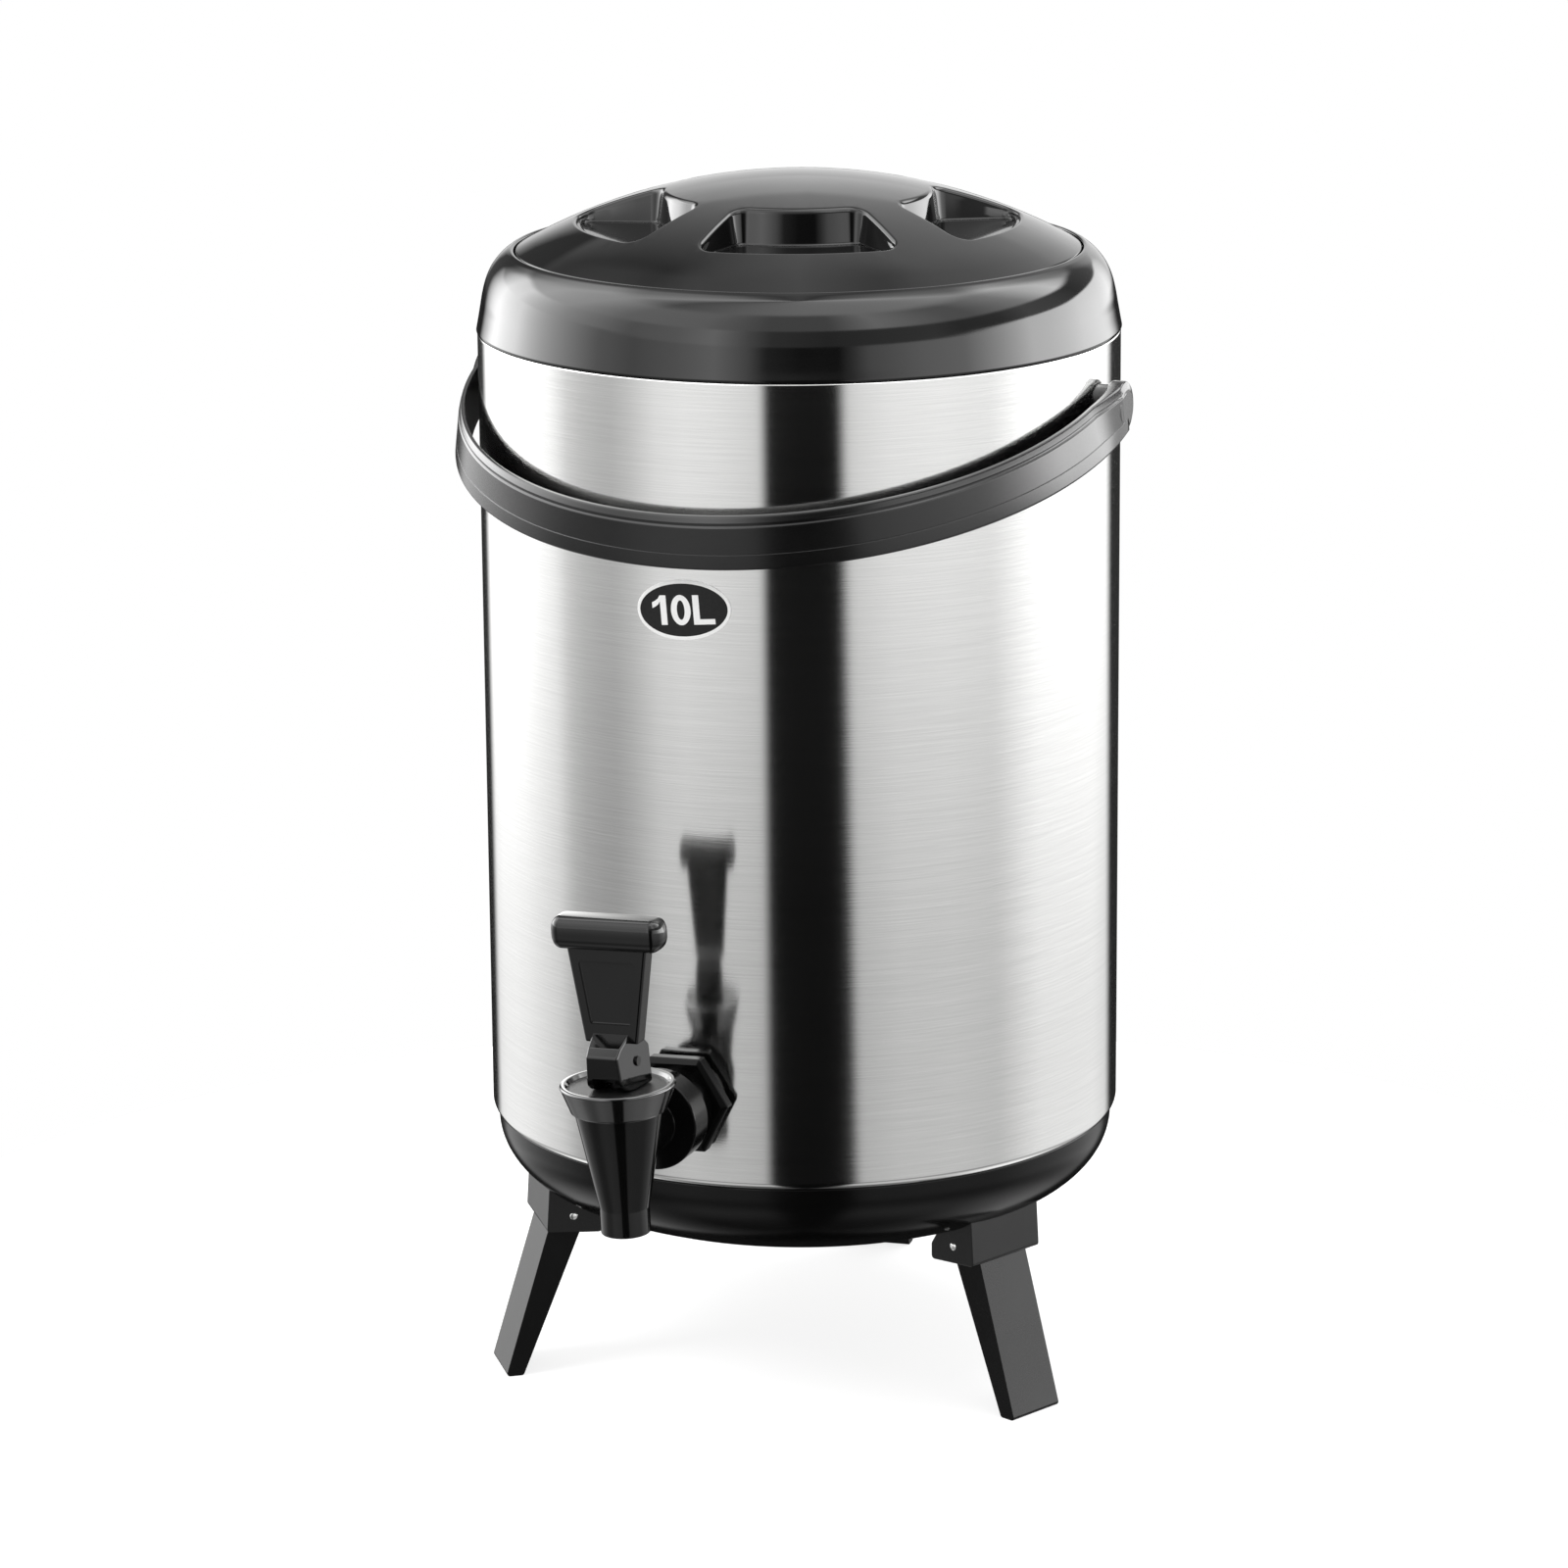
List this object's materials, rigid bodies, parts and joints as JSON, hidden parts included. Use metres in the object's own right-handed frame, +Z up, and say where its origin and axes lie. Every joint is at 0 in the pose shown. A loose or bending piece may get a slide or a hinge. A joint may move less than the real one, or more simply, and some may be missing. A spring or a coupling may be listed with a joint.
{
  "type": "insulated beverage dispenser",
  "caption": "Insulated steel drum for hot or cold drinks, on folding legs, with a domed lid with finger pockets, a swinging carry bail and a lever tap over a sprung valve.",
  "frame": {"origin": "on the floor, under the drum's axis", "axes": "+Z up along the drum's axis, -Y towards the tap, +X to the right of the tap as seen by the person who pours"},
  "size_m": [0.28, 0.349, 0.4945],
  "materials": {
    "shell_steel": "fine brushing round the drum",
    "tank_steel": "plain rolled sheet",
    "gloss_black": "smooth, glossy",
    "satin_black": "satin, very fine grain",
    "bright_steel": "bright",
    "badge_print": "printed film, white border and figures",
    "pale_plastic": "food-safe moulding",
    "foam": "closed-cell foam, open skin",
    "silicone": "soft, matt"
  },
  "bodies": {
    "body": {"outer_shell": "shell_steel", "shell_bottom": "tank_steel", "inner_tank": "tank_steel", "insulation_foam": "foam", "top_collar": "gloss_black", "base_shell": "satin_black", "base_screws": "bright_steel", "leg_bracket_left": "satin_black", "leg_bracket_right": "satin_black", "leg_bracket_rear": "satin_black", "leg_pin_left": "bright_steel", "leg_pin_right": "bright_steel", "leg_pin_rear": "bright_steel", "bracket_screws": "bright_steel", "bail_boss_left": "satin_black", "bail_boss_right": "satin_black", "bail_screw_left": "bright_steel", "bail_screw_right": "bright_steel", "capacity_badge": "badge_print", "tap_body": "gloss_black", "tap_nut": "gloss_black", "tap_outer_washer": "silicone", "tap_inner_washer": "silicone", "tap_inner_nut": "satin_black", "tap_bonnet": "gloss_black", "tap_spring": "bright_steel"},
    "lid_seal": {"lid_gasket": "silicone"},
    "lid": {"lid_cover": "gloss_black", "lid_inner_pan": "pale_plastic", "lid_insulation": "foam"},
    "handle": {"handle_bail": "satin_black"},
    "stem": {"tap_stem": "satin_black", "tap_seat_cup": "silicone", "tap_lever_pin": "bright_steel"},
    "lever": {"tap_lever": "gloss_black"},
    "leg_left": {"leg_left": "satin_black"},
    "leg_right": {"leg_right": "satin_black"},
    "leg_rear": {"leg_rear": "satin_black"}
  },
  "joints": [
    {"name": "lid_lift", "type": "slide", "parent": "body", "child": "lid_seal", "axis": [0, 0, 1], "range_m": [0, 0.15]},
    {"name": "lid_turn", "type": "hinge", "parent": "lid_seal", "child": "lid", "pos_m": [0, 0, 0.4575], "axis": [0, 0, 1], "range_deg": [0, 360]},
    {"name": "handle_swing", "type": "hinge", "parent": "body", "child": "handle", "pos_m": [0, 0, 0.4075], "axis": [-1, 0, 0], "range_deg": [0, 210]},
    {"name": "stem_lift", "type": "slide", "parent": "body", "child": "stem", "axis": [-0.0436, 0, 0.999], "range_m": [0, 0.00315], "deforming": ["tap_spring"]},
    {"name": "lever_tilt", "type": "hinge", "parent": "stem", "child": "lever", "pos_m": [-0.00151, -0.193, 0.17807], "axis": [0.999, 0, 0.0436], "range_deg": [0, 45], "stiffness_Nm_per_rad": 0.25, "springref_deg": -11.46},
    {"name": "leg_fold_left", "type": "hinge", "parent": "body", "child": "leg_left", "pos_m": [-0.08376, -0.06198, 0.0696], "axis": [0.5948, -0.8039, 0], "range_deg": [0, 105]},
    {"name": "leg_fold_right", "type": "hinge", "parent": "body", "child": "leg_right", "pos_m": [0.09556, -0.04155, 0.0696], "axis": [0.3987, 0.9171, 0], "range_deg": [0, 105]},
    {"name": "leg_fold_rear", "type": "hinge", "parent": "body", "child": "leg_rear", "pos_m": [-0.0118, 0.10353, 0.0696], "axis": [-0.9936, -0.1132, 0], "range_deg": [0, 105]}
  ],
  "couplings": [
    {"joint": "stem_lift", "follows": "lever_tilt", "m_per_rad": 0.004}
  ]
}
